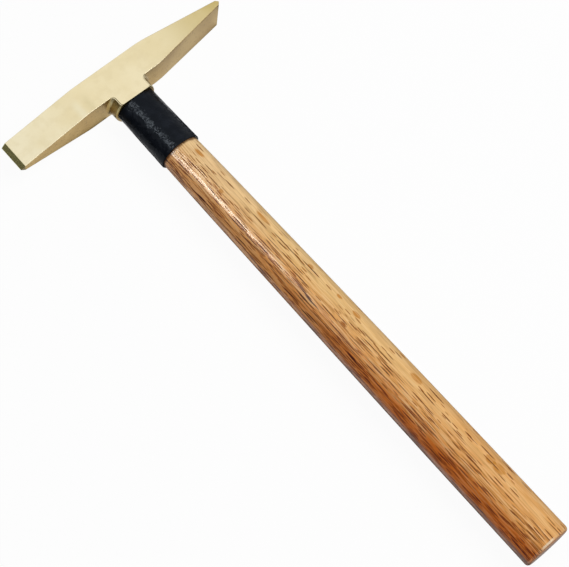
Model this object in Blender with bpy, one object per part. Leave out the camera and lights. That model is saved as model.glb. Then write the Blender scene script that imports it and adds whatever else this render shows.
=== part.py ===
"""Scaling hammer with two unlike blades, lying on its side.

A forged brass head has a flat blade on its left, whose edge runs along the handle, and a cross blade on
its right, whose edge runs across it. A turned wooden handle is wedged in the eye, and a black sleeve covers
its neck. Metres, +X along the head to the cross blade, +Y along the handle to the head, +Z up.
"""
import math

import bmesh
import bpy

# Whole hammer
LENGTH = 0.3200  # butt face to the head's top, along the handle's axis
HEAD_SPAN = 0.1346  # flat blade's edge to cross blade's edge

# Head: the bar that both blades are drawn out of
HEAD_THICKNESS = 0.0174  # cheek to cheek
BAR_HEIGHT = 0.0164  # top to underside, beside the boss
BAR_LEAN = math.radians(1.0)  # the bar's rise from the flat blade to the cross blade
EDGE_BREAK = 0.0004  # rounding of the forged corners
EDGE_FLAT = 0.0004  # blunt land left on both cutting edges
THIN_ROUND = 0.45  # most of a thin section that its corner rounding may take

# Head: flat blade, thinned from cheek to cheek
BLADE_ROOT = 0.0235  # handle's axis to the crease where it starts to thin
BLADE_CREASE = 0.0020  # half the length over which the crease is rounded
BLADE_TIP = 0.0042  # thickness where the edge bevel starts
BLADE_BEVEL = 0.0024  # length of the edge bevel
BLADE_CORNER = 0.0005  # how far the edge's two corners are worn back

# Head: cross blade, thinned from top to underside
CROSS_ROOT_TOP = 0.0205  # handle's axis to where the top turns down
CROSS_ROOT_UNDER = 0.0215  # handle's axis to where the underside turns up
CROSS_CREASE = 0.0040  # half the length over which both turns are rounded
CROSS_TIP = 0.0032  # height where the edge bevel starts
CROSS_BEVEL = 0.0012  # length of the edge bevel
CROSS_DROP = 0.0070  # cutting edge below the head's top
CROSS_FLARE = 0.0022  # thickness gained from root to edge

# Head: oval boss under the bar, cut off flush by the cheeks
BOSS_DROP = 0.0068  # boss below the bar's underside
BOSS_WIDTH = 0.0182  # along the head, at the cheeks
BOSS_BULGE = 0.0032  # how far each side swells at mid thickness
BOSS_RIM = 0.0011  # rounding of the lower rim
BOSS_FILLET = 0.0022  # blend between boss and bar
FILLET_BITE = 0.00005  # how far the blend runs into the bar

# Head: eye, an oval hole that opens out towards the top
EYE_LENGTH = 0.0164  # along the head, at the boss
EYE_WIDTH = 0.0118  # cheek to cheek, at the boss
EYE_FLARE = 0.0010  # how much longer and wider it is at the top

# Handle
BUTT_DIAMETER = 0.0257
BUTT_ROUND = 0.0018  # rounding of the butt's edge
SWELL = 0.0004  # fullness of the grip over a straight taper
SWELL_BIAS = 1.4  # above 1 puts the fullness nearer the butt
NECK_BLEND = 0.0700  # length over which the oval neck turns round

# Sleeve
SLEEVE_LENGTH = 0.0346
SLEEVE_WALL = 0.0008
SLEEVE_SIDE_INSET = 0.0010  # sleeve inside the boss's swelling sides
SLEEVE_CHEEK_INSET = 0.0004  # sleeve inside the cheeks
SLEEVE_ROUND = 0.0003  # rounding of its two outer rims

# Wooden wedge, along the eye, and brass wedge, across it
KERF_WIDTH = 0.0012  # saw cut that the wooden wedge opens
KERF_DEPTH = 0.0180  # from the tenon's end
WEDGE_TOP = 0.0028  # thickness of the wooden wedge at the tenon's end
WEDGE_DEPTH = 0.0150
PIN_WEDGE_WIDTH = 0.0076  # cheek to cheek
PIN_WEDGE_TOP = 0.0018  # thickness at the tenon's end
PIN_WEDGE_TIP = 0.0005
PIN_WEDGE_DEPTH = 0.0100

# Clearances
SEAT_GAP = 0.0003  # boss to the handle's shoulder and to the sleeve
EYE_GAP = 0.0003  # tenon to eye
SLEEVE_GAP = 0.0003  # handle to sleeve
WEDGE_GAP = 0.0003  # wedges to the wood that they split

# Fineness of the round forms, and how they are cut and shaded
OVAL_POINTS = 40
BOSS_POINTS = 9
ARC_POINTS = 4
CREASE_POINTS = 5
GRIP_STEPS = 18
CUT_PAST = 0.0020  # how far a cutter runs on past the face that it opens
HEAD_SHARP = math.radians(20)  # edges above this angle are shaded sharp
ROUND_SHARP = math.radians(35)

half_span = HEAD_SPAN / 2
half_thick = HEAD_THICKNESS / 2
boss_bottom = -(BAR_HEIGHT + BOSS_DROP)
shoulder = boss_bottom - SEAT_GAP


def bent(distance, knee, slope, blend):
    """Zero before the knee and a straight slope after it, joined by a parabola."""
    if distance <= knee - blend:
        return 0.0
    if distance >= knee + blend:
        return slope * (distance - knee)
    return slope * (distance - knee + blend) ** 2 / (4 * blend)


def arc_steps(count):
    """Angles of a quarter circle, both ends included."""
    return [math.pi / 2 * i / (count - 1) for i in range(count)]


def make_material(name, colour, roughness, metallic):
    material = bpy.data.materials.new(name)
    material.use_nodes = True
    shader = material.node_tree.nodes["Principled BSDF"]
    shader.inputs["Base Color"].default_value = (*colour, 1.0)
    shader.inputs["Roughness"].default_value = roughness
    shader.inputs["Metallic"].default_value = metallic
    return material


def loft(name, rings, closed=False):
    """Mesh object through rings of equal point counts: capped at both ends, or closed into a loop."""
    body = bmesh.new()
    rows = [[body.verts.new(point) for point in ring] for ring in rings]
    count = len(rows[0])
    for low, high in zip(rows, rows[1:] + rows[:1] if closed else rows[1:]):
        for i in range(count):
            j = (i + 1) % count
            body.faces.new((low[i], low[j], high[j], high[i]))
    if not closed:
        body.faces.new(rows[0])
        body.faces.new(rows[-1])
    bmesh.ops.recalc_face_normals(body, faces=body.faces)
    mesh = bpy.data.meshes.new(name)
    body.to_mesh(mesh)
    body.free()
    return bpy.data.objects.new(name, mesh)


def add_boolean(target, other, operation):
    modifier = target.modifiers.new(f"{operation.lower()} {other.name}", "BOOLEAN")
    modifier.operation = operation
    modifier.object = other


def shade_round(piece, angle):
    piece.data.shade_smooth()
    piece.data.set_sharp_from_angle(angle=angle)


# Head


def bar_thickness(x):
    slope = (HEAD_THICKNESS - BLADE_TIP) / (half_span - BLADE_BEVEL - BLADE_ROOT)
    flare = CROSS_FLARE / (half_span - CROSS_ROOT_TOP)
    thinned = bent(-x, BLADE_ROOT, slope, BLADE_CREASE)
    return HEAD_THICKNESS - thinned + bent(x, CROSS_ROOT_TOP, flare, CROSS_CREASE)


def bar_top(x):
    reach = half_span - CROSS_BEVEL
    fall = reach * math.tan(BAR_LEAN) + CROSS_DROP - CROSS_TIP / 2
    slope = fall / (reach - CROSS_ROOT_TOP)
    return x * math.tan(BAR_LEAN) - bent(x, CROSS_ROOT_TOP, slope, CROSS_CREASE)


def bar_under(x):
    reach = half_span - CROSS_BEVEL
    climb = BAR_HEIGHT - reach * math.tan(BAR_LEAN) - CROSS_DROP - CROSS_TIP / 2
    slope = climb / (reach - CROSS_ROOT_UNDER)
    return x * math.tan(BAR_LEAN) - BAR_HEIGHT + bent(x, CROSS_ROOT_UNDER, slope, CROSS_CREASE)


def bar_section(x, top, under, thickness):
    """Upright rectangle across the bar, with its four corners rounded."""
    radius = min(EDGE_BREAK, THIN_ROUND * thickness, THIN_ROUND * (top - under))
    ring = []
    for side_y, side_z in ((1, 1), (-1, 1), (-1, -1), (1, -1)):
        corner_y = (top if side_y > 0 else under) - side_y * radius
        corner_z = side_z * (thickness / 2 - radius)
        turn = arc_steps(ARC_POINTS)
        for angle in turn if side_y * side_z > 0 else reversed(turn):
            ring.append((x, corner_y + side_y * radius * math.cos(angle),
                         corner_z + side_z * radius * math.sin(angle)))
    return ring


def spread(middle, reach):
    """Evenly spaced stations across a rounded crease."""
    return [middle + reach * (2 * i / (CREASE_POINTS - 1) - 1) for i in range(CREASE_POINTS)]


def make_bar():
    stations = [BLADE_BEVEL - half_span, half_span - CROSS_BEVEL]
    stations += spread(-BLADE_ROOT, BLADE_CREASE)
    stations += spread(CROSS_ROOT_TOP, CROSS_CREASE)
    stations += spread(CROSS_ROOT_UNDER, CROSS_CREASE)
    rings = [bar_section(x, bar_top(x), bar_under(x), bar_thickness(x)) for x in sorted(set(stations))]
    worn_top = bar_top(-half_span) - BLADE_CORNER
    worn_under = bar_under(-half_span) + BLADE_CORNER
    flat_edge = bar_section(-half_span, worn_top, worn_under, EDGE_FLAT)
    land_top = -CROSS_DROP + EDGE_FLAT / 2
    land_under = -CROSS_DROP - EDGE_FLAT / 2
    cross_edge = bar_section(half_span, land_top, land_under, bar_thickness(half_span))
    return loft("hammer_head", [flat_edge] + rings + [cross_edge])


def boss_section(y, outset, lean=0.0):
    """Flat at the cheeks and swelling between them, square to the handle or leaning as the bar does."""
    right = []
    for i in range(BOSS_POINTS):
        z = (half_thick - EDGE_BREAK) * (2 * i / (BOSS_POINTS - 1) - 1)
        swell = BOSS_BULGE * (1 - (z / half_thick) ** 2)
        right.append((BOSS_WIDTH / 2 + outset + swell, z))
    inner = BOSS_WIDTH / 2 + outset - EDGE_BREAK
    right = [(inner, -half_thick)] + right + [(inner, half_thick)]
    ring = right + [(-x, z) for x, z in reversed(right)]
    return [(x, y + x * math.tan(lean), z) for x, z in ring]


def make_boss():
    rings = []
    for angle in arc_steps(ARC_POINTS):
        y = boss_bottom + BOSS_RIM * (1 - math.cos(angle))
        rings.append(boss_section(y, BOSS_RIM * (math.sin(angle) - 1)))
    for angle in arc_steps(ARC_POINTS + 2):
        y = FILLET_BITE - BAR_HEIGHT - BOSS_FILLET * (1 - math.sin(angle))
        outset = BOSS_FILLET * (1 - math.cos(angle))
        rings.append(boss_section(y, outset, BAR_LEAN * math.sin(angle)))
    rings.append(boss_section(-BAR_HEIGHT / 2, BOSS_FILLET, BAR_LEAN))
    return loft("boss_blank", rings)


def oval(y, half_x, half_z):
    turns = [2 * math.pi * i / OVAL_POINTS for i in range(OVAL_POINTS)]
    return [(half_x * math.cos(t), y, half_z * math.sin(t)) for t in turns]


def eye_oval(y, gap):
    """The eye's section at a height, less a gap all round."""
    flare = EYE_FLARE / 2 * (y - boss_bottom) / -boss_bottom
    return oval(y, EYE_LENGTH / 2 + flare - gap, EYE_WIDTH / 2 + flare - gap)


def make_eye_cutter():
    return loft("eye_cutter", [eye_oval(boss_bottom - CUT_PAST, 0.0), eye_oval(CUT_PAST, 0.0)])


# Handle and sleeve


def neck_half_width():
    return BOSS_WIDTH / 2 + BOSS_BULGE - SLEEVE_SIDE_INSET - SLEEVE_WALL - SLEEVE_GAP


def neck_half_depth():
    return half_thick - SLEEVE_CHEEK_INSET - SLEEVE_WALL - SLEEVE_GAP


def grip_oval(y, outset=0.0):
    """The handle's section at a height: oval at the shoulder, then round, growing to the butt."""
    share = max(shoulder - y, 0.0) / (LENGTH + shoulder)
    fullness = SWELL * math.sin(math.pi * share ** SWELL_BIAS)
    half_x = neck_half_width() + (BUTT_DIAMETER / 2 - neck_half_width()) * share + fullness
    turned = min((shoulder - y) / NECK_BLEND, 1.0)
    turned = turned * turned * (3 - 2 * turned)
    half_z = half_x - (neck_half_width() - neck_half_depth()) * (1 - turned)
    return oval(y, half_x + outset, half_z + outset)


def grip_heights(low, high, steps):
    return [low + (high - low) * i / steps for i in range(steps + 1)]


def make_handle(name):
    rings = []
    for angle in reversed(arc_steps(ARC_POINTS)):
        y = -LENGTH + BUTT_ROUND * (1 - math.sin(angle))
        rings.append(grip_oval(y, BUTT_ROUND * (math.cos(angle) - 1)))
    neck_end = shoulder - NECK_BLEND
    rings += [grip_oval(y) for y in grip_heights(-LENGTH + BUTT_ROUND, neck_end, GRIP_STEPS)[1:-1]]
    rings += [grip_oval(y) for y in grip_heights(neck_end, shoulder, GRIP_STEPS // 2)]
    rings += [eye_oval(shoulder, EYE_GAP), eye_oval(0.0, EYE_GAP)]
    return loft(name, rings)


def make_sleeve():
    low = shoulder - SLEEVE_LENGTH
    heights = grip_heights(low, shoulder, GRIP_STEPS // 2)
    outer = SLEEVE_GAP + SLEEVE_WALL
    rings = [grip_oval(low, outer - SLEEVE_ROUND), grip_oval(low + SLEEVE_ROUND, outer)]
    rings += [grip_oval(y, outer) for y in heights[1:-1]]
    rings += [grip_oval(shoulder - SLEEVE_ROUND, outer), grip_oval(shoulder, outer - SLEEVE_ROUND)]
    rings += [grip_oval(y, SLEEVE_GAP) for y in reversed(heights)]
    return loft("handle_sleeve", rings, closed=True)


# Wedges


def slab(y, size_x, size_z):
    return [(sx * size_x / 2, y, sz * size_z / 2) for sx, sz in ((1, 1), (-1, 1), (-1, -1), (1, -1))]


def tapered(depth, top, tip, y):
    """Thickness of a wedge at a height, carried on past its top."""
    return top + (top - tip) * y / depth


def make_wood_wedge(name, gap, heights):
    """The wooden wedge, or with a gap the slot that it opens, longer than the eye until the tenon trims it."""
    tip = KERF_WIDTH - 2 * WEDGE_GAP
    rings = []
    for y in heights:
        thick = max(tapered(WEDGE_DEPTH, WEDGE_TOP, tip, y), tip)
        rings.append(slab(y, 2 * EYE_LENGTH, thick + 2 * gap))
    return loft(name, rings)


def make_pin_wedge(name, gap, heights):
    """The brass wedge across the eye, or with a gap the slot that it cuts."""
    rings = []
    for y in heights:
        thick = max(tapered(PIN_WEDGE_DEPTH, PIN_WEDGE_TOP, PIN_WEDGE_TIP, y), PIN_WEDGE_TIP)
        rings.append(slab(y, thick + 2 * gap, PIN_WEDGE_WIDTH + 2 * gap))
    return loft(name, rings)


def make_hammer():
    for old in list(bpy.data.objects):
        bpy.data.objects.remove(old)
    parts = bpy.data.collections.new("scaling_hammer")
    cutters = bpy.data.collections.new("cutters")
    for collection in (parts, cutters):
        bpy.context.scene.collection.children.link(collection)

    # All pieces are drawn from the head's top on the handle's axis, and this puts the hammer on the ground.
    highest = max(bar_top(x) for x in spread(CROSS_ROOT_TOP, CROSS_CREASE))
    axis = bpy.data.objects.new("handle_axis", None)
    axis.location = (0.0, (LENGTH - highest) / 2, BUTT_DIAMETER / 2)
    parts.objects.link(axis)

    head = make_bar()
    boss = make_boss()
    eye = make_eye_cutter()
    handle = make_handle("handle")
    blank = make_handle("handle_blank")
    sleeve = make_sleeve()
    wood_wedge = make_wood_wedge("wood_wedge", 0.0, (CUT_PAST, -WEDGE_DEPTH))
    kerf = make_wood_wedge("kerf_cutter", WEDGE_GAP, (CUT_PAST, -WEDGE_DEPTH, -KERF_DEPTH))
    pin_wedge = make_pin_wedge("pin_wedge", 0.0, (0.0, -PIN_WEDGE_DEPTH))
    pin_slot = make_pin_wedge("pin_slot_cutter", WEDGE_GAP, (CUT_PAST, -PIN_WEDGE_DEPTH - WEDGE_GAP))

    add_boolean(head, boss, "UNION")
    add_boolean(head, eye, "DIFFERENCE")
    add_boolean(handle, kerf, "DIFFERENCE")
    add_boolean(handle, pin_slot, "DIFFERENCE")
    add_boolean(wood_wedge, blank, "INTERSECT")
    add_boolean(wood_wedge, pin_slot, "DIFFERENCE")

    brass = make_material("brass", (0.80, 0.68, 0.40), 0.35, 1.0)
    pin_brass = make_material("wedge_brass", (0.72, 0.55, 0.26), 0.45, 1.0)
    beech = make_material("varnished_beech", (0.60, 0.30, 0.12), 0.30, 0.0)
    wedge_wood = make_material("wedge_wood", (0.66, 0.45, 0.24), 0.60, 0.0)
    black = make_material("black_sleeve", (0.010, 0.011, 0.016), 0.40, 0.0)
    pieces = (head, handle, sleeve, wood_wedge, pin_wedge)
    for piece, material in zip(pieces, (brass, beech, black, wedge_wood, pin_brass)):
        parts.objects.link(piece)
        piece.parent = axis
        piece.data.materials.append(material)
    for piece, angle in ((head, HEAD_SHARP), (handle, ROUND_SHARP), (sleeve, ROUND_SHARP)):
        shade_round(piece, angle)
    for cutter in (boss, eye, blank, kerf, pin_slot):
        cutters.objects.link(cutter)
        cutter.parent = axis
        cutter.hide_render = True
        cutter.display_type = "WIRE"


make_hammer()
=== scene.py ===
import math

import bmesh
import bpy
from mathutils import Matrix, Vector


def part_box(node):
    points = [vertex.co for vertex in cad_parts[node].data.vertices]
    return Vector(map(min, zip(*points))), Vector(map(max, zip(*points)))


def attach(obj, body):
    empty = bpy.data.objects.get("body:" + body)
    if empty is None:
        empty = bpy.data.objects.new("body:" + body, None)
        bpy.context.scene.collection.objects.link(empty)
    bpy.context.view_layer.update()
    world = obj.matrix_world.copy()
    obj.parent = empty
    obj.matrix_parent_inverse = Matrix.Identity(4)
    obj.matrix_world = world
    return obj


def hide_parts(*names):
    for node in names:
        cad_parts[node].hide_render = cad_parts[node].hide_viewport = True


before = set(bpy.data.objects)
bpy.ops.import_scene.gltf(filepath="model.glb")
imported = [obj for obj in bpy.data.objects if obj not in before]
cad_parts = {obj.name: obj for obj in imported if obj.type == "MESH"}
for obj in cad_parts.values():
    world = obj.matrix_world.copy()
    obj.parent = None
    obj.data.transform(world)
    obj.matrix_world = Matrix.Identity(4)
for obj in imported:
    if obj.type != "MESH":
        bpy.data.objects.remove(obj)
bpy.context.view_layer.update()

# Head
# One forging in pale non-sparking brass: a bar with a flat blade on the left, a cross blade on the right
# and an oval boss round the eye. Its cheeks are ground and fine-blasted, the rest keeps the forge's skin,
# whose darker brown is partly painted shade.

tenon_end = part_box("handle")[1].y
axis_height = (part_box("handle")[0].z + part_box("handle")[1].z) / 2

half_span = 0.0673
head_half = 0.0087  # half the head's thickness
bar_height = 0.0164
bar_rise = math.tan(math.radians(1.0))
edge_break = 0.00045
edge_land = 0.0004
narrow_share = 0.45  # the most of a narrow side that its edge break takes
blade_root, blade_crease = 0.0235, 0.0024
blade_tip, blade_bevel, blade_corner = 0.0042, 0.0024, 0.0005
cross_root_top, cross_root_under, cross_crease = 0.0205, 0.0215, 0.0040
cross_tip, cross_bevel, cross_drop, cross_flare = 0.0032, 0.0012, 0.0070, 0.0022
boss_bottom = -0.0232
boss_half, boss_bulge, boss_rim, boss_fillet = 0.0091, 0.0032, 0.0011, 0.0022
fillet_bite = 0.00005
eye_half_length, eye_half_width, eye_flare = 0.0082, 0.0059, 0.0005
cut_past = 0.002
weld = 1e-6  # points that are nearer than this become one
arc_points, boss_points, eye_points = 7, 25, 96
bar_steps, bar_step, crease_steps = 16, 0.004, 8


def bent(distance, knee, slope, blend):
    """Zero before the knee and a straight slope after it, joined by a parabola."""
    if distance <= knee - blend:
        return 0.0
    if distance >= knee + blend:
        return slope * (distance - knee)
    return slope * (distance - knee + blend) ** 2 / (4 * blend)


def quarter(count):
    """Angles of a quarter turn, both ends among them."""
    return [math.pi / 2 * i / (count - 1) for i in range(count)]


def bar_size(x):
    """Top, underside and half thickness of the bar at a place along it."""
    reach = half_span - cross_bevel
    fall = reach * bar_rise + cross_drop - cross_tip / 2
    climb = bar_height - reach * bar_rise - cross_drop - cross_tip / 2
    thinning = (2 * head_half - blade_tip) / (half_span - blade_bevel - blade_root)
    top = x * bar_rise - bent(x, cross_root_top, fall / (reach - cross_root_top), cross_crease)
    under = x * bar_rise - bar_height
    under += bent(x, cross_root_under, climb / (reach - cross_root_under), cross_crease)
    thickness = 2 * head_half - bent(-x, blade_root, thinning, blade_crease)
    thickness += bent(x, cross_root_top, cross_flare / (half_span - cross_root_top), cross_crease)
    return top, under, thickness / 2


def bar_ring(x, top, under, half):
    """Upright rectangle across the bar with rounded corners."""
    radius = min(edge_break, narrow_share * 2 * half, narrow_share * (top - under))
    ring = []
    for side_y, side_z in ((1, 1), (-1, 1), (-1, -1), (1, -1)):
        corner_y = (top if side_y > 0 else under) - side_y * radius
        corner_z = side_z * (half - radius)
        turn = quarter(arc_points)
        for angle in turn if side_y * side_z > 0 else reversed(turn):
            y = corner_y + side_y * radius * math.cos(angle)
            ring.append((x, y, corner_z + side_z * radius * math.sin(angle)))
    return ring


def boss_ring(y, outset, lean=0.0):
    """Flat at the cheeks and swelling between them."""
    right = []
    for i in range(boss_points):
        z = (head_half - edge_break) * (2 * i / (boss_points - 1) - 1)
        swell = boss_bulge * (1 - (z / head_half) ** 2)
        right.append((boss_half + outset + swell, z))
    for angle in quarter(arc_points)[1:]:
        inset = edge_break * (1 - math.cos(angle))
        lift = edge_break * (math.sin(angle) - 1)
        right.append((boss_half + outset - inset, head_half + lift))
        right.insert(0, (boss_half + outset - inset, -head_half - lift))
    ring = right + [(-x, z) for x, z in reversed(right)]
    return [(x, y + x * lean, z) for x, z in ring]


def oval_ring(y, half_x, half_z, count):
    turns = [2 * math.pi * i / count for i in range(count)]
    return [(half_x * math.cos(t), y, half_z * math.sin(t)) for t in turns]


def placed(name, data):
    """A new object in the scene, at its origin."""
    thing = bpy.data.objects.new(name, data)
    bpy.context.scene.collection.objects.link(thing)
    return thing


def loft(name, rings):
    """Closed mesh object through rings that are drawn from the head's top on the handle's axis."""
    body = bmesh.new()
    rows = [[body.verts.new(point) for point in ring] for ring in rings]
    count = len(rows[0])
    for low, high in zip(rows, rows[1:]):
        for i in range(count):
            j = (i + 1) % count
            body.faces.new((low[i], low[j], high[j], high[i]))
    body.faces.new(rows[0])
    body.faces.new(rows[-1])
    bmesh.ops.recalc_face_normals(body, faces=body.faces)
    mesh = bpy.data.meshes.new(name)
    body.to_mesh(mesh)
    body.free()
    mesh.transform(Matrix.Translation((0.0, tenon_end, axis_height)))
    return placed(name, mesh)


def cut(piece, tool, operation):
    modifier = piece.modifiers.new(operation.lower(), "BOOLEAN")
    modifier.operation = operation
    modifier.object = tool


def taken_up(piece):
    """A plain mesh of a piece as its modifiers leave it."""
    bpy.context.view_layer.update()
    seen = piece.evaluated_get(bpy.context.evaluated_depsgraph_get())
    return bpy.data.meshes.new_from_object(seen)


def made_real(piece, name, sharp_angle, tools=()):
    """Plain mesh object of a piece with its modifiers and cutters taken up, smooth between sharp edges."""
    mesh = taken_up(piece)
    for spent in (piece, *tools):
        bpy.data.objects.remove(spent)
    body = bmesh.new()
    body.from_mesh(mesh)
    bmesh.ops.remove_doubles(body, verts=body.verts, dist=weld)
    bmesh.ops.dissolve_degenerate(body, edges=body.edges, dist=weld)
    bmesh.ops.recalc_face_normals(body, faces=body.faces)
    body.to_mesh(mesh)
    body.free()
    mesh.shade_smooth()
    mesh.set_sharp_from_angle(angle=math.radians(sharp_angle))
    mesh.name = name
    real = placed(name, mesh)
    weighted = real.modifiers.new("weighted", "WEIGHTED_NORMAL")
    weighted.keep_sharp = True
    real.data = taken_up(real)
    real.modifiers.clear()
    return real


stations = [-half_span + blade_bevel, half_span - cross_bevel]
creases = ((-blade_root, blade_crease), (cross_root_top, cross_crease), (cross_root_under, cross_crease))
for middle, reach in creases:
    stations += [middle + reach * (i / crease_steps - 1) for i in range(2 * crease_steps + 1)]
stations += [bar_step * i for i in range(-bar_steps, bar_steps + 1)]
rings = [bar_ring(x, *bar_size(x)) for x in sorted(set(stations))]
worn_top, worn_under, _ = bar_size(-half_span)
flat_edge = bar_ring(-half_span, worn_top - blade_corner, worn_under + blade_corner, edge_land / 2)
_, _, cross_half = bar_size(half_span)
cross_edge = bar_ring(half_span, -cross_drop + edge_land / 2, -cross_drop - edge_land / 2, cross_half)
bar = loft("bar", [flat_edge] + rings + [cross_edge])

rings = []
for angle in quarter(arc_points):
    y = boss_bottom + boss_rim * (1 - math.cos(angle))
    rings.append(boss_ring(y, boss_rim * (math.sin(angle) - 1)))
for angle in quarter(2 * arc_points):
    y = fillet_bite - bar_height - boss_fillet * (1 - math.sin(angle))
    rings.append(boss_ring(y, boss_fillet * (1 - math.cos(angle)), bar_rise * math.sin(angle)))
rings.append(boss_ring(-bar_height / 2, boss_fillet, bar_rise))
boss = loft("boss", rings)


def eye_loft(name, heights, gap):
    """The eye's tapered oval between two heights, inside its wall by a gap."""
    rings = []
    for y in heights:
        flare = eye_flare * (y - boss_bottom) / -boss_bottom - gap
        rings.append(oval_ring(y, eye_half_length + flare, eye_half_width + flare, eye_points))
    return loft(name, rings)


eye = eye_loft("eye", (boss_bottom - cut_past, cut_past), 0.0)
cut(bar, boss, "UNION")
cut(bar, eye, "DIFFERENCE")
head = made_real(bar, "forged_head", sharp_angle=20, tools=(boss, eye))


class Link:
    """A node socket that can be reckoned with: each sum or product adds a Math node to its tree."""

    def __init__(self, tree, socket=None):
        self.tree = tree
        self.socket = socket

    def make(self, kind, values=None, output=0, **settings):
        """Adds a node, sets it up, fills or links its sockets, and gives back one of its outputs."""
        node = self.tree.nodes.new(kind)
        for name, setting in settings.items():
            setattr(node, name, setting)
        for key, value in (values or {}).items():
            if isinstance(value, Link):
                self.tree.links.new(value.socket, node.inputs[key])
            else:
                node.inputs[key].default_value = value
        return Link(self.tree, node.outputs[output] if node.outputs else None)

    def maths(self, operation, *values):
        return self.make("ShaderNodeMath", dict(enumerate(values)), operation=operation)

    def __add__(self, other):
        return self.maths("ADD", self, other)

    def __radd__(self, other):
        return self.maths("ADD", other, self)

    def __sub__(self, other):
        return self.maths("SUBTRACT", self, other)

    def __rsub__(self, other):
        return self.maths("SUBTRACT", other, self)

    def __mul__(self, other):
        return self.maths("MULTIPLY", self, other)

    def __rmul__(self, other):
        return self.maths("MULTIPLY", other, self)

    def __truediv__(self, other):
        return self.maths("DIVIDE", self, other)

    def __pow__(self, other):
        return self.maths("POWER", self, other)

    def __abs__(self):
        return self.maths("ABSOLUTE", self)


def eased(value, low, high):
    """0 at low and 1 at high, with a soft start and end."""
    ends = {"Value": value, "From Min": low, "From Max": high}
    return value.make("ShaderNodeMapRange", ends, interpolation_type="SMOOTHSTEP")


def noise(place, size, detail=2.0):
    """Soft noise, in lumps of about a size in metres."""
    return place.make("ShaderNodeTexNoise", {"Vector": place, "Scale": 1 / size, "Detail": detail})


def tinted(factor, colour, other):
    """The first colour where the factor is 0 and the other where it is 1."""
    return factor.make("ShaderNodeMix", {0: factor, 6: colour, 7: other}, 2, data_type="RGBA")


def darkened(factor, colour, share):
    """The colour where the factor is 0, and a share of each of its channels where it is 1."""
    mixed = {0: factor, 6: colour, 7: share}
    return factor.make("ShaderNodeMix", mixed, 2, data_type="RGBA", blend_type="MULTIPLY")


def axis_of(vector, axis):
    return vector.make("ShaderNodeSeparateXYZ", {0: vector}, axis)


def stretched(place, scales):
    return place.make("ShaderNodeVectorMath", {0: place, 1: scales}, operation="MULTIPLY")


def new_finish(name):
    """An empty material, with its tree's start and the place on the piece in metres."""
    material = bpy.data.materials.new(name)
    material.use_nodes = True
    material.node_tree.nodes.clear()
    start = Link(material.node_tree)
    return material, start, start.make("ShaderNodeTexCoord", output="Object")


def bumped(start, height, strength, distance):
    return start.make("ShaderNodeBump", {"Strength": strength, "Distance": distance, "Height": height})


def shaded(start, **values):
    """A Principled shader on the material's output. Underscores in the names stand for spaces."""
    named = {key.replace("_", " "): value for key, value in values.items()}
    start.make("ShaderNodeOutputMaterial", {0: start.make("ShaderNodeBsdfPrincipled", named)})


cheek_brass = (0.92, 0.81, 0.535, 1)
# the two ends' tones are partly the brass's own and partly painted light and shade
left_brass, right_brass = (0.94, 0.85, 0.60, 1), (0.615, 0.487, 0.195, 1)
cloud_brass, patch_brass = (0.82, 0.69, 0.39, 1), (0.74, 0.62, 0.36, 1)
# colours of the painted light and shade at the flat blade's crease
crease_light_brass, crease_shade_brass = (0.95, 0.88, 0.64, 1), (0.70, 0.60, 0.35, 1)
# colours of the edges' painted highlight, partly worn brass, and of the bevel's painted dark reflection
rim_brass, bevel_brass = (0.95, 0.88, 0.66, 1), (0.58, 0.53, 0.22, 1)
# forge skin colours, partly painted shade; the spots are the skin's own
pale_skin, dark_skin, skin_spot = (0.52, 0.36, 0.13, 1), (0.43, 0.28, 0.09, 1), (0.22, 0.13, 0.04, 1)
# colours of painted shade in the recess round the boss
low_hollow, high_hollow = (0.27, 0.18, 0.05, 1), (0.47, 0.43, 0.235, 1)
# shares that paint shade: on the right half's skin and on the bevel
right_skin_shade, bevel_shade_share = (0.87, 0.87, 0.85, 1), (0.35, 0.30, 0.30, 1)
crease_light_line, crease_shade_line, line_half = -0.0268, -0.0212, 0.0036  # either side of the blade's root
bevel_line, bevel_soft = blade_bevel - half_span, 0.0003

brass, start, place = new_finish("forged_brass")
normal = start.make("ShaderNodeNewGeometry", output="Normal")
facing, leaning = axis_of(normal, "Z"), axis_of(normal, "Y")
along, down = axis_of(place, "X"), axis_of(place, "Y")
upright = abs(facing)
cheek = eased(upright, 0.75, 0.95)
# the flat blade's bevel, which gets a painted dark reflection
bevel = eased(along, bevel_line + bevel_soft, bevel_line - bevel_soft)
# painted shade in the recess under the bar round the boss
recess = eased(abs(along), 0.026, 0.012) * eased(down, tenon_end - 0.014, tenon_end - 0.019)
# pale edges: partly bright worn brass, partly a painted highlight along the rounded edges, less on the
# right half
rim = eased(upright * (1 - upright * upright) ** 0.5, 0.2, 0.5) * (1 - bevel) * (1 - recess)
right_half = eased(along, 0.014, 0.032)
low_half = eased(down, tenon_end - 0.004, tenon_end - 0.011)
# painted light and shade at the flat blade's crease: a paler band on the blade's side of it and a darker
# band on the boss's side
crease_light = eased(abs(along - crease_light_line), line_half, 0.0) * low_half
crease_shade = eased(abs(along - crease_shade_line), line_half, 0.0) * low_half
cloud = noise(place, 0.018, 3.0)
patch = noise(place, 0.0050, 2.0)
mottle = noise(place, 0.0016, 2.0)
grain = noise(place, 0.00028, 1.0)
# partly the brass's own tone and partly painted light and shade: paler towards the flat blade's end, darker
# and browner towards the cross blade's tip
ground = tinted(eased(along, -0.018, -0.060), cheek_brass, left_brass)
ground = tinted(eased(along, 0.018, 0.066), ground, right_brass)
ground = tinted(eased(cloud, 0.35, 0.75) * 0.5, ground, cloud_brass)
ground = tinted(eased(patch, 0.45, 0.70) * 0.22, ground, patch_brass)
# the crease's painted light and painted shade
ground = tinted(crease_light * 0.6, ground, crease_light_brass)
ground = tinted(crease_shade * 0.45, ground, crease_shade_brass)
# partly the forge skin's own brown, partly painted shade for the darker light these faces reflect
skin = tinted(eased(cloud, 0.3, 0.7), pale_skin, dark_skin)
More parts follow.
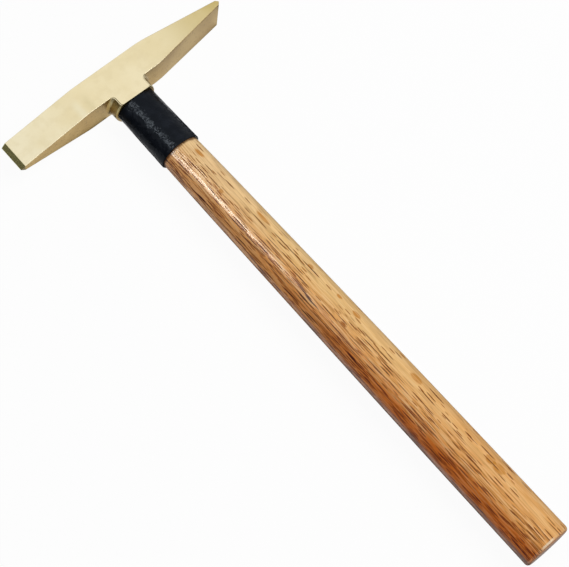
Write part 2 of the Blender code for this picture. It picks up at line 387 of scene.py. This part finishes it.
# painted shade: the skin darker on the right half of the head
skin = darkened(right_half, skin, right_skin_shade)
# painted shade: darkest where the recess's faces turn away from the top
hollow = tinted(eased(facing, 0.05, 0.45), low_hollow, high_hollow)
skin = tinted(recess * 0.8, skin, hollow)
skin = tinted(eased(mottle, 0.58, 0.72) * 0.5, skin, skin_spot)
colour = tinted(cheek, skin, ground)
# painted highlight along the edges, partly edge wear
colour = tinted(rim * (0.8 - 0.65 * right_half), colour, rim_brass)
# painted dark reflection on the bevel, and painted shade on its faces that turn towards negative Y
colour = tinted(bevel, colour, bevel_brass)
colour = darkened(bevel * eased(leaning, -0.3, -0.6), colour, bevel_shade_share)
satin = 0.28 + grain * 0.10 + cloud * 0.06 + rim * (0.20 + 0.18 * right_half)
relief = (grain * 0.5 + mottle) * (1 - rim)
shaded(start, Base_Color=colour, Metallic=1.0, Roughness=satin + bevel * (0.36 - satin),
       Normal=bumped(start, relief, 0.12, 0.0001))
head.data.materials.append(brass)
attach(head, "root")
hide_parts("hammer_head")

# Handle
# A beech handle turned round, with an oval neck under the sleeve and a tenon in the eye, in clear varnish.
# The grain runs a little across its length, and short dark rays mark it all along.

shoulder_gap, tenon_gap = 0.0003, 0.00005
butt_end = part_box("handle")[0].y
shoulder_end = tenon_end + boss_bottom - shoulder_gap
grip_length = shoulder_end - butt_end
butt_radius, butt_round = 0.01285, 0.0018
neck_half_width, neck_half_depth, neck_blend = 0.0102, 0.0072, 0.070
swell, swell_bias = 0.0004, 1.4
round_count = 96
handle_rings = (4, 10, 200, 2, 16, 6)  # butt face, its rounding, grip, seat, tenon and the tenon's end


def grip_halves(below):
    """Half width and half depth of the handle at a distance below its shoulder."""
    share = below.maths("MAXIMUM", below, 0.0) / grip_length
    fullness = swell * share.maths("SINE", math.pi * share ** swell_bias)
    half_x = neck_half_width + (butt_radius - neck_half_width) * share + fullness
    half_z = half_x - (neck_half_width - neck_half_depth) * (1 - eased(below, 0.0, neck_blend))
    return half_x, half_z


def new_form(name, inputs):
    """A Geometry Nodes tree with named lengths, its start, and those lengths as links."""
    tree = bpy.data.node_groups.new(name, "GeometryNodeTree")
    for label in inputs:
        tree.interface.new_socket(label, in_out="INPUT", socket_type="NodeSocketFloat")
    tree.interface.new_socket("Mesh", in_out="OUTPUT", socket_type="NodeSocketGeometry")
    group = tree.nodes.new("NodeGroupInput")
    return Link(tree), {label: Link(tree, group.outputs[label]) for label in inputs}


def grid_turns(start, rings):
    """A grid of rings, with the angle round the handle's axis and the ring's number as fields."""
    grid = start.make("GeometryNodeMeshGrid", {0: 1.0, 1: 1.0, 2: round_count + 1, 3: rings + 1})
    spot = start.make("GeometryNodeInputPosition")
    angle = (0.5 - axis_of(spot, "X")) * (2 * math.pi)
    return grid, angle, (axis_of(spot, "Y") + 0.5) * float(rings)


def part_of(ring, first, count):
    """0 at the first ring and 1 after a count of rings."""
    return ring.make("ShaderNodeMapRange", {"Value": ring, "From Min": first, "From Max": first + count})


def turned(start, grid, half_x, y, half_z, angle, material):
    """The grid wrapped round the handle's axis, its seam closed, with its material."""
    x = half_x * angle.maths("COSINE", angle)
    z = axis_height + half_z * angle.maths("SINE", angle)
    position = start.make("ShaderNodeCombineXYZ", {0: x, 1: y, 2: z})
    mesh = start.make("GeometryNodeSetPosition", {0: grid, 2: position})
    mesh = start.make("GeometryNodeMergeByDistance", {0: mesh, 2: weld})
    mesh = start.make("GeometryNodeRealizeInstances", {0: mesh})
    mesh = start.make("GeometryNodeSetMaterial", {0: mesh, 2: material})
    start.make("NodeGroupOutput", {0: mesh})


def grown(name, start, lengths):
    """An object that the tree fills, with its named lengths set."""
    piece = placed(name, bpy.data.meshes.new(name))
    modifier = piece.modifiers.new("form", "NODES")
    modifier.node_group = start.tree
    for item in start.tree.interface.items_tree:
        if item.in_out == "INPUT":
            modifier[item.identifier] = lengths[item.name]
    return piece


# the neck's colour paints the varnish's sheen there
left_wood, right_wood, neck_wood = (0.96, 0.46, 0.138, 1), (0.83, 0.535, 0.215, 1), (0.94, 0.66, 0.37, 1)
low_wood, heart_wood, sap_wood = (0.79, 0.345, 0.085, 1), (0.76, 0.20, 0.027, 1), (0.90, 0.61, 0.28, 1)
# the last colour paints shade on the handle's underside
end_wood, edge_wood, underside_shade_wood = (0.42, 0.15, 0.03, 1), (1.0, 0.80, 0.56, 1), (0.18, 0.16, 0.14, 1)
bright_fibre, brown_mark = (1.0, 0.70, 0.37, 1), (0.58, 0.24, 0.040, 1)
fibre_share, streak_share = (0.36, 0.20, 0.10, 1), (0.45, 0.33, 0.24, 1)
# shares of painted shade: the sleeve's shadow on the wood and the greyer right edge
sleeve_shadow_share, shade_share = (0.14, 0.09, 0.06, 1), (0.87, 0.88, 0.90, 1)
shadow_line_start, shadow_line_end = 0.0347, 0.0362  # a dark line at the sleeve's end, below the shoulder

beech, start, place = new_finish("varnished_beech")
inside = start.make("ShaderNodeVectorMath", {0: place, 1: (0.0, 0.0, -axis_height)}, operation="ADD")
grain_turn = (0.0, math.radians(20), math.radians(0.5))
wood = start.make("ShaderNodeMapping", {"Vector": inside, "Rotation": grain_turn})
side, height, depth = axis_of(inside, "X"), axis_of(inside, "Y"), axis_of(inside, "Z")
wander = noise(stretched(wood, (0.2, 0.11, 0.2)), 0.006, 2.0)
waver = noise(stretched(wood, (0.3, 0.22, 0.3)), 0.0022, 1.0)
sway = (wander - 0.5) * 0.0022 + (waver - 0.5) * 0.0003
drift = start.make("ShaderNodeCombineXYZ", {0: sway, 2: sway * 0.7})
wood = start.make("ShaderNodeVectorMath", {0: wood, 1: drift}, operation="ADD")
fibre = noise(stretched(wood, (1.0, 0.04, 0.35)), 0.0006, 1.0)
streak = noise(stretched(wood, (1.0, 0.03, 0.35)), 0.0009, 1.0)
shade = noise(stretched(wood, (1.0, 0.05, 1.0)), 0.006, 2.0)
groove = noise(stretched(inside, (1.0, 0.012, 1.0)), 0.0016, 0.0)
pale_side = eased(side, -0.0075, 0.0035)
far_side = eased(side, 0.0045, 0.0085)


def dashes(wood, width, length, reach, rare, thin=0.35, soft=0.07, fade=0.25):
    """1 on scattered thin plates along the grain and 0 between them. Fewer show where rare is higher."""
    spread = stretched(wood, (1 / width, 1 / length, thin / width))
    lens = wood.make("ShaderNodeTexVoronoi", {"Vector": spread, "Scale": 1.0})
    tone = axis_of(Link(lens.tree, lens.socket.node.outputs["Color"]), "X")
    return eased(lens, reach, reach - soft) * eased(tone, rare, rare + fade)


# rays in the wood: width, length, reach, how rare they are, and the share of the wood's colour in them
rare = 0.1 + 0.32 * pale_side + 0.25 * far_side
left_rare, fine_rare = 0.05 + 0.9 * pale_side, 0.2 + 0.8 * pale_side
rays = ((0.0008, 0.017, 0.29, fine_rare, (0.34, 0.17, 0.05, 1)),
        (0.0009, 0.030, 0.28, left_rare, (0.24, 0.10, 0.02, 1)),
        (0.0010, 0.009, 0.28, rare, (0.42, 0.21, 0.05, 1)),
        (0.0011, 0.014, 0.28, rare, (0.27, 0.12, 0.02, 1)),
        (0.0011, 0.022, 0.28, rare, (0.22, 0.09, 0.015, 1)))

# brown marks in the wood: degrees round from the top, place along, half width and half length
marks = ((20, 0.0926, 0.0014, 0.0040), (-11, 0.0692, 0.0009, 0.0014), (22, 0.0457, 0.0012, 0.0045),
         (27, 0.0118, 0.0014, 0.0017), (27, -0.0086, 0.0011, 0.0017), (27, -0.0208, 0.0016, 0.0025),
         (26, -0.0628, 0.0020, 0.0038), (22, -0.1138, 0.0025, 0.0026), (22, -0.1196, 0.0028, 0.0036))
thin_radius, radius_gain, thin_end, thick_run = 0.0107, 0.0021, 0.095, 0.225  # of the handle, for the marks
mark = 0.0
for degrees, y, half_width, half_length in marks:
    radius = thin_radius + radius_gain * (thin_end - y) / thick_run
    centre = (radius * math.sin(math.radians(degrees)), y, radius * math.cos(math.radians(degrees)))
    away = start.make("ShaderNodeVectorMath", {0: inside, 1: centre}, operation="SUBTRACT")
    away = stretched(away, (1 / half_width, 1 / half_length, 1 / half_width))
    away = start.make("ShaderNodeVectorMath", {0: away}, "Value", operation="LENGTH")
    mark = mark + eased(away + (streak - 0.5), 1.15, 0.75)

low = eased(height, 0.05, -0.09)
heart = eased(side + (shade - 0.5) * 0.006 + (streak - 0.5) * 0.004, -0.0050, -0.0098)
colour = tinted(pale_side, left_wood, right_wood)
# painted sheen: paler towards the neck, for the varnish's broad gloss there
colour = tinted(eased(height, 0.02, 0.08) * (0.2 + pale_side * 0.35), colour, neck_wood)
colour = tinted(low * 0.33 + eased(height, -0.04, -0.13) * 0.33, colour, low_wood)
colour = tinted(heart * (0.20 + 0.80 * low), colour, heart_wood)
colour = tinted(eased(shade, 0.55, 0.35) * pale_side * 0.25, colour, sap_wood)
bright = (0.75 - 0.55 * heart - 0.3 * pale_side) * (1 - 0.35 * low)
colour = tinted(eased(fibre, 0.46, 0.40) * bright, colour, bright_fibre)
dark = (0.75 - 0.55 * pale_side) * (1 - 0.3 * low)
colour = darkened(eased(fibre, 0.56, 0.59) * dark, colour, fibre_share)
colour = darkened(eased(streak, 0.55, 0.60) * (0.10 + 0.15 * heart), colour, streak_share)
colour = tinted(mark * (0.65 + 0.3 * eased(fibre, 0.40, 0.60)), colour, brown_mark)
cracks = 0.0
for width, length, reach, rarity, share in rays:
    ray = dashes(wood, width, length, reach, rarity)
    colour = darkened(ray, colour, share)
    cracks = cracks + ray
outward = abs(axis_of(start.make("ShaderNodeNewGeometry", output="Normal"), "Y"))
end_grain = eased(outward, 0.75, 0.95)
# rounded end edges: a little wear all round, and a painted highlight on the butt's front edge
worn_and_lit_edge = eased(outward, 0.15, 0.45) * eased(outward, 0.95, 0.75)
butt_highlight_place = eased(abs(side + 0.0030), 0.0045, 0.0020)
colour = tinted(end_grain * 0.85, colour, end_wood)
colour = tinted(worn_and_lit_edge * (0.1 + 0.7 * butt_highlight_place), colour, edge_wood)
# painted shadow of the sleeve's end on the wood, with a ragged edge
sleeve_shadow = eased(height + (streak - 0.5) * 0.0014, shoulder_end - shadow_line_end, shoulder_end - shadow_line_start)
colour = darkened(sleeve_shadow * 0.9, colour, sleeve_shadow_share)
# painted shade: the handle's underside greyer and darker, more so towards the butt, and its right edge a
# little greyer
colour = tinted(eased(depth, 0.0060, -0.0020) * (0.32 + 0.40 * low), colour, underside_shade_wood)
colour = darkened(far_side, colour, shade_share)
gloss = 0.20 + eased(fibre, 0.48, 0.58) * 0.06 + eased(cracks, 0.0, 1.0) * 0.25 + end_grain * 0.30
shaded(start, Base_Color=colour, Roughness=gloss, Specular_IOR_Level=0.20,
       Specular_Tint=(1.0, 0.93, 0.85, 1), Normal=bumped(start, groove, 0.12, 0.00012))

lengths = {"Butt radius": butt_radius, "Butt rounding": butt_round, "Grip length": grip_length,
           "Eye half length": eye_half_length - tenon_gap, "Eye half width": eye_half_width - tenon_gap,
           "Eye flare": eye_flare, "Tenon length": tenon_end - shoulder_end}
start, size = new_form("turned_handle", lengths)
grid, angle, ring = grid_turns(start, sum(handle_rings))
parts, first = [], 0
for count in handle_rings:
    parts.append(part_of(ring, first, count))
    first += count
on_face, on_round, on_grip, on_seat, on_tenon, on_end = parts
bend = on_round * (math.pi / 2)
rise = size["Butt rounding"] * (1 - bend.maths("COSINE", bend))
rise = rise + (size["Grip length"] - size["Butt rounding"]) * on_grip
swept = size["Butt rounding"] * bend.maths("SINE", bend)
filled = ((size["Butt radius"] - size["Butt rounding"]) * on_face + swept) / size["Butt radius"]
half_x, half_z = grip_halves(size["Grip length"] - rise)
flare = size["Eye flare"] * on_tenon
half_x = half_x + (size["Eye half length"] + flare - half_x) * on_seat
half_z = half_z + (size["Eye half width"] + flare - half_z) * on_seat
filled = filled * (1 - on_end)
y = butt_end + rise + size["Tenon length"] * on_tenon
turned(start, grid, half_x * filled, y, half_z * filled, angle, beech)
blank = grown("handle_blank", start, lengths)

kerf_half_top, kerf_half_tip, wedge_depth, kerf_depth = 0.00142, 0.00032, 0.0150, 0.0180
pin_half_width, pin_half_top, pin_half_tip, pin_depth = 0.0038, 0.0009, 0.00025, 0.0100
slot_gap = 0.00003


def slab_ring(y, half_x, half_z):
    return [(sx * half_x, y, sz * half_z) for sx, sz in ((1, 1), (-1, 1), (-1, -1), (1, -1))]


def wedge_half(y, top, tip, length):
    """Half thickness of a wedge that thins from its top to its tip and no further."""
    return max(top + (top - tip) * y / length, tip)


def wedge_tool(name, gap, heights):
    """A slab across the eye with the wooden wedge's taper, wider than the wedge by a gap on each face."""
    halves = [wedge_half(y, kerf_half_top, kerf_half_tip, wedge_depth) + gap for y in heights]
    return loft(name, [slab_ring(y, 2 * eye_half_length, half) for y, half in zip(heights, halves)])


def pin_tool(name, gap, heights):
    """A slab with the brass wedge's taper, wider than the wedge by a gap on each face."""
    halves = [wedge_half(y, pin_half_top, pin_half_tip, pin_depth) + gap for y in heights]
    return loft(name, [slab_ring(y, half, pin_half_width + gap) for y, half in zip(heights, halves)])


pin_slot_heights = (cut_past, -pin_depth - slot_gap)
kerf = wedge_tool("kerf", slot_gap, (cut_past, -wedge_depth, -kerf_depth))
pin_slot = pin_tool("pin_slot", slot_gap, pin_slot_heights)
cut(blank, kerf, "DIFFERENCE")
cut(blank, pin_slot, "DIFFERENCE")
handle = made_real(blank, "turned_handle", sharp_angle=35, tools=(kerf, pin_slot))
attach(handle, "root")
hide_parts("handle")

# Sleeve
# Black plastic tube shrunk on the handle's neck with hot air, from the boss down. It grips the wood,
# and its skin is a little lumpy and satin.

sleeve_length, sleeve_wall = 0.0346, 0.00105
top_gap, wall_gap = 0.00005, 0.00002
sleeve_top = tenon_end + boss_bottom - top_gap
sleeve_rings = 110
lump_size, lump_height = 0.0028, 0.00025
rim_round, rim_segments, rim_angle = 0.00028, 3, 60
clean_black, dusty_black = (0.0058, 0.0072, 0.0105, 1), (0.0100, 0.0122, 0.0175, 1)

black, start, place = new_finish("shrunk_sleeve")
pits = noise(place, 0.0020, 0.0)
dust = noise(place, 0.0045, 2.0)
colour = tinted(eased(dust, 0.4, 0.75), clean_black, dusty_black)
shaded(start, Base_Color=colour, Roughness=0.15 + pits * 0.10, Specular_IOR_Level=0.09,
       Specular_Tint=(0.80, 0.90, 1.0, 1), Normal=bumped(start, eased(pits, 0.42, 0.70), 0.9, 0.00008))

lengths = {"Length": sleeve_length, "Wall": sleeve_wall, "Lump height": lump_height}
start, size = new_form("shrunk_tube", lengths)
grid, angle, ring = grid_turns(start, sleeve_rings)
below = size["Length"] * (1 - ring / float(sleeve_rings))
half_x, half_z = grip_halves(below)
spot = {0: half_x * angle.maths("COSINE", angle), 1: below, 2: half_z * angle.maths("SINE", angle)}
lump = (noise(start.make("ShaderNodeCombineXYZ", spot), lump_size, 1.0) - 0.5) * size["Lump height"]
outset = size["Wall"] + lump
turned(start, grid, half_x + outset, sleeve_top - below, half_z + outset, angle, black)
skin_of_tube = grown("tube_skin", start, lengths)
wall = skin_of_tube.modifiers.new("wall", "SOLIDIFY")
wall.thickness = sleeve_wall - wall_gap
wall.offset = -1.0
rims = skin_of_tube.modifiers.new("rims", "BEVEL")
rims.width = rim_round
rims.segments = rim_segments
rims.limit_method = "ANGLE"
rims.angle_limit = math.radians(rim_angle)
sleeve = made_real(skin_of_tube, "shrunk_sleeve", sharp_angle=40)
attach(sleeve, "root")
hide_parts("handle_sleeve")

# Wooden wedge
# A split of bare hardwood driven into the tenon's saw cut, along the eye, and sawn off flush with the head.
# It spreads the tenon in the eye's taper.

pale_layer, brown_layer, pore_brown = (0.62, 0.42, 0.22, 1), (0.46, 0.28, 0.12, 1), (0.22, 0.12, 0.05, 1)

bare, start, place = new_finish("bare_hardwood")
pores = noise(stretched(place, (1.0, 0.3, 1.0)), 0.00035, 2.0)
layers = noise(stretched(place, (0.3, 0.1, 1.0)), 0.0006, 2.0)
colour = tinted(eased(layers, 0.35, 0.7), pale_layer, brown_layer)
colour = tinted(eased(pores, 0.55, 0.75) * 0.6, colour, pore_brown)
shaded(start, Base_Color=colour, Roughness=0.55 + pores * 0.2, Normal=bumped(start, pores, 0.3, 0.0001))

split = wedge_tool("split", 0.0, (cut_past, -wedge_depth))
tenon = eye_loft("tenon", (boss_bottom, 0.0), tenon_gap)
pin_slot = pin_tool("pin_slot", slot_gap, pin_slot_heights)
cut(split, tenon, "INTERSECT")
cut(split, pin_slot, "DIFFERENCE")
wood_wedge = made_real(split, "hardwood_wedge", sharp_angle=35, tools=(tenon, pin_slot))
wood_wedge.data.materials.append(bare)
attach(wood_wedge, "root")
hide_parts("wood_wedge")

# Brass wedge
# A small cast wedge driven across the wooden one to lock it, flush with the head's top.
# It is dull, and its end is dented from being hammered in.

pale_wedge, brown_wedge = (0.66, 0.50, 0.24, 1), (0.48, 0.34, 0.14, 1)

dull, start, place = new_finish("wedge_brass")
dents = noise(place, 0.0007, 2.0)
colour = tinted(eased(dents, 0.4, 0.7), pale_wedge, brown_wedge)
shaded(start, Base_Color=colour, Metallic=1.0, Roughness=0.38 + dents * 0.2,
       Normal=bumped(start, dents, 0.5, 0.0001))
pin_wedge = made_real(pin_tool("pin", 0.0, (0.0, -pin_depth)), "brass_wedge", sharp_angle=35)
pin_wedge.data.materials.append(dull)
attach(pin_wedge, "root")
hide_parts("pin_wedge")

# Studio
# A white floor in white surroundings, lit by a soft key lamp on the right. Strip and window streak the
# varnish and the sleeve, front and top show in gloss alone, and felt cards give the gloss its darks.

floor_half = 4.0
paper_grey, paper_white = 0.85, 0.95  # the floor's own grey, and the share of it that is seen as white
fill = 0.42
card_level = 0.0004  # of the cards that lie on the floor

floor_mesh = bpy.data.meshes.new("floor")
corners = [(-floor_half, -floor_half, 0.0), (floor_half, -floor_half, 0.0),
           (floor_half, floor_half, 0.0), (-floor_half, floor_half, 0.0)]
floor_mesh.from_pydata(corners, [], [(0, 1, 2, 3)])
floor = placed("floor", floor_mesh)


def seen_white(start):
    """1 for the rays that should meet a white surrounding: the camera's, and those in metal and gloss."""
    path = start.make("ShaderNodeLightPath").socket.node.outputs
    seen = Link(start.tree, path["Is Camera Ray"]) + Link(start.tree, path["Is Glossy Ray"])
    seen = seen + Link(start.tree, path["Is Transmission Ray"])
    return seen.maths("MINIMUM", seen, 1.0)


paper, start, _ = new_finish("white_paper")
bounce = start.make("ShaderNodeBsdfDiffuse", {"Color": (paper_grey, paper_grey, paper_grey, 1)})
white = start.make("ShaderNodeEmission", {"Color": (1, 1, 1, 1), "Strength": 1.0})
surface = start.make("ShaderNodeMixShader", {0: seen_white(start) * paper_white, 1: bounce, 2: white})
start.make("ShaderNodeOutputMaterial", {0: surface})
floor_mesh.materials.append(paper)

world = bpy.data.worlds.new("studio")
world.use_nodes = True
world.node_tree.nodes.clear()
start = Link(world.node_tree)
strength = fill + (1.0 - fill) * seen_white(start)
start.make("ShaderNodeOutputWorld", {0: start.make("ShaderNodeBackground", {"Strength": strength})})
bpy.context.scene.world = world

lit_by = {}
for name, pieces in (("strip", (handle,)), ("window", (handle, sleeve))):
    lit_by[name] = bpy.data.collections.new("lit_by_" + name)
    for piece in pieces:
        lit_by[name].objects.link(piece)


def stood(place, aside, along, toward):
    """The matrix of a stand at a place, turned to three axes."""
    return Matrix.Translation(place) @ Matrix((aside, along, toward)).transposed().to_4x4()


def lamp(name, aim, direction, distance, width, length, watts, lights_up=True, mirrored=True, only=None):
    """A soft box that faces a point on the hammer. It lights pieces up, or is mirrored in them, or both."""
    light = bpy.data.lights.new(name, "AREA")
    light.shape = "RECTANGLE"
    light.size, light.size_y = width, length
    light.energy = watts
    stand = placed(name, light)
    toward = Vector(direction).normalized()
    aside = Vector((0, 1, 0)).cross(toward).normalized()
    stand.matrix_world = stood(Vector(aim) + toward * distance, aside, toward.cross(aside), toward)
    stand.visible_diffuse = lights_up
    stand.visible_glossy = mirrored
    stand.light_linking.receiver_collection = only


lamp("key", aim=(0.0, 0.0, 0.0), direction=(0.42, -0.15, 0.88), distance=1.3,
     width=0.9, length=0.9, watts=10.5, mirrored=False)
lamp("strip", aim=(0.0, 0.080, 0.0128), direction=(-0.640, 0.366, 0.676), distance=0.82,
     width=0.220, length=0.220, watts=6.2, lights_up=False, only=lit_by["strip"])
lamp("window", aim=(0.0, 0.120, 0.0128), direction=(-0.270, 0.440, 0.855), distance=0.82,
     width=0.260, length=0.110, watts=1.4, lights_up=False, only=lit_by["window"])
lamp("front", aim=(0.0, 0.0, 0.0), direction=(0.33, -0.68, 0.62), distance=1.1,
     width=0.50, length=0.50, watts=4.0, lights_up=False)
lamp("top", aim=(0.0, 0.15, 0.0), direction=(0.20, 0.30, 0.93), distance=1.2,
     width=0.9, length=0.9, watts=0.42, lights_up=False)

felts = {}
for name, level in (("dark_felt", 0.01), ("grey_felt", 0.10)):
    felts[name], start, _ = new_finish(name)
    shaded(start, Base_Color=(level, level, level * 1.1, 1), Roughness=0.9)


def felt_card(name, corners, felt):
    """A card of felt that only gloss mirrors: the camera doesn't see it, and it throws no shadow."""
    mesh = bpy.data.meshes.new(name)
    mesh.from_pydata(corners, [], [(0, 1, 2, 3)])
    mesh.materials.append(felts[felt])
    card = placed(name, mesh)
    card.visible_camera = False
    card.visible_diffuse = False
    card.visible_shadow = False


end_corners = [(-0.45, -0.40, 0.0), (-0.45, 0.70, 0.0), (-0.45, 0.70, 0.36), (-0.45, -0.40, 0.36)]
felt_card("end_card", end_corners, "dark_felt")

# cards on the floor, each between two lines across it: y, left end and right end of both
cards = (("left_card", "dark_felt", (-0.40, -0.45, -0.021), (0.10, -0.45, -0.030)),
         ("near_card", "grey_felt", (-0.20, -0.0165, -0.008), (0.13, -0.0145, -0.006)),
         ("right_card", "grey_felt", (-0.40, 0.018, 0.40), (0.132, 0.018, 0.40)),
         ("far_card", "grey_felt", (0.132, 0.078, 0.40), (0.22, 0.078, 0.40)))
for name, felt, near, far in cards:
    (y, left, right), (far_y, far_left, far_right) = near, far
    felt_card(name, [(left, y, card_level), (right, y, card_level),
                     (far_right, far_y, card_level), (far_left, far_y, card_level)], felt)

# the floor in the head's own shade: x and rise of its inner and outer end, and its width
under_line, shade_spread = tenon_end - bar_height, 1.4
shades = (("left_shade", -0.012, 0.0, -0.066, -0.0010, 0.0025),
          ("right_shade", 0.019, 0.0010, 0.068, 0.0082, 0.0012))
for name, inner, inner_rise, outer, outer_rise, width in shades:
    inner_y, outer_y = under_line + inner_rise, under_line + outer_rise
    felt_card(name, [(inner, inner_y, card_level), (outer, outer_y, card_level),
                     (outer, outer_y - width * shade_spread, card_level),
                     (inner, inner_y - width, card_level)], "dark_felt")

camera = placed("camera", bpy.data.cameras.new("camera"))
camera.data.lens = 112.91
camera.data.sensor_width = 36.0
camera.data.clip_start = 0.01
camera_place = (-0.290692, tenon_end - 0.361836, 0.794115)
right = Vector((0.74883, -0.65677, 0.08895))
up = Vector((0.57455, 0.71018, 0.40685))
back = Vector((-0.33038, -0.25355, 0.90915))
camera.matrix_world = stood(camera_place, right, up, back)
bpy.context.scene.camera = camera
bpy.context.scene.view_settings.view_transform = "Standard"
